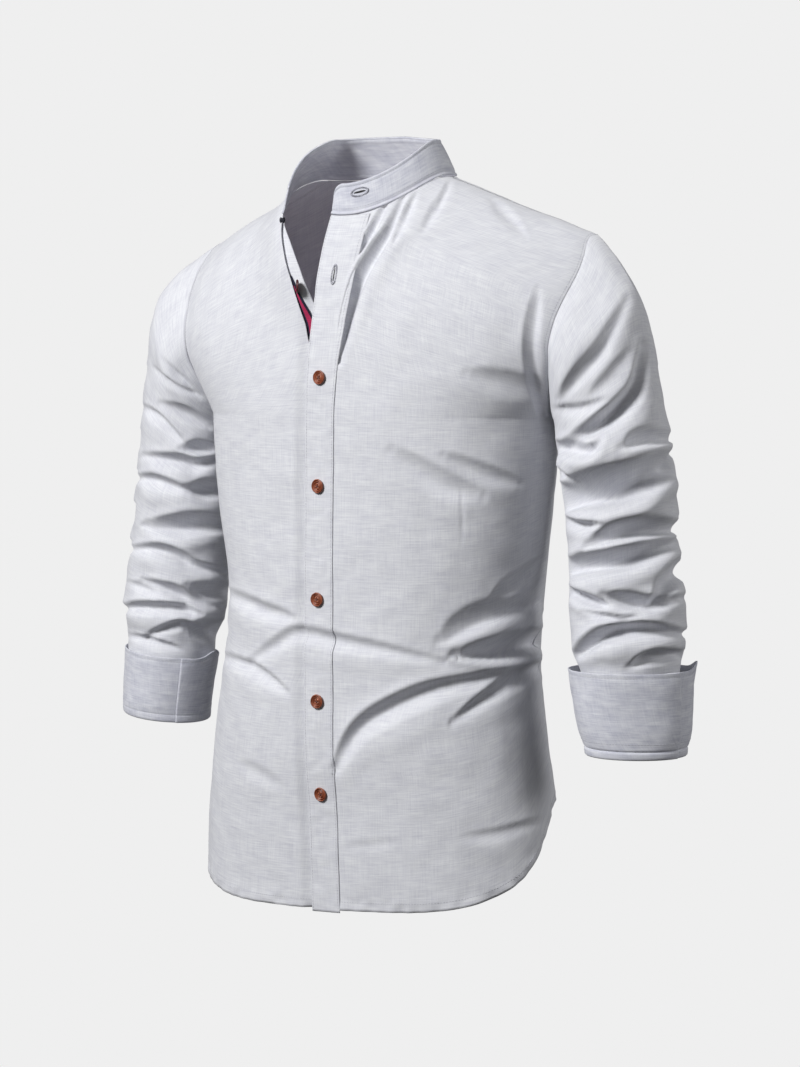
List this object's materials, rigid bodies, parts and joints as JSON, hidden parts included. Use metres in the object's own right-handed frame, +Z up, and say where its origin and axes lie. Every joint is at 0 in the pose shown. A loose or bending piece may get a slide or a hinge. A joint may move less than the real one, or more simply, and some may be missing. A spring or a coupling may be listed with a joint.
{
  "type": "mandarin collar shirt",
  "caption": "Man's pale grey slub linen-cotton shirt with a mandarin collar, worn and hollow, its neck open over a red contrast facing and its sleeves turned back to below the elbow.",
  "frame": {"origin": "middle of the neck, level with the points where the shoulder seams meet the collar", "axes": "+Z up from the hem to the collar, front towards -Y, +X towards the wearer's left"},
  "size_m": [0.6764, 0.22, 0.7664],
  "materials": {
    "cloth": "slub linen-cotton",
    "contrast_cloth": "plain woven cotton",
    "button": "satin"
  },
  "bodies": {
    "root": {"front_left": "cloth", "front_right": "cloth", "back": "cloth", "sleeve_left": "cloth", "sleeve_right": "cloth", "cuff_left": "cloth", "cuff_right": "cloth", "collar": "cloth", "placket": "cloth", "button_stand": "cloth", "contrast_facing": "contrast_cloth", "button_1": "button", "button_2": "button", "button_3": "button", "button_4": "button", "button_5": "button", "button_open": "button"}
  },
  "joints": []
}
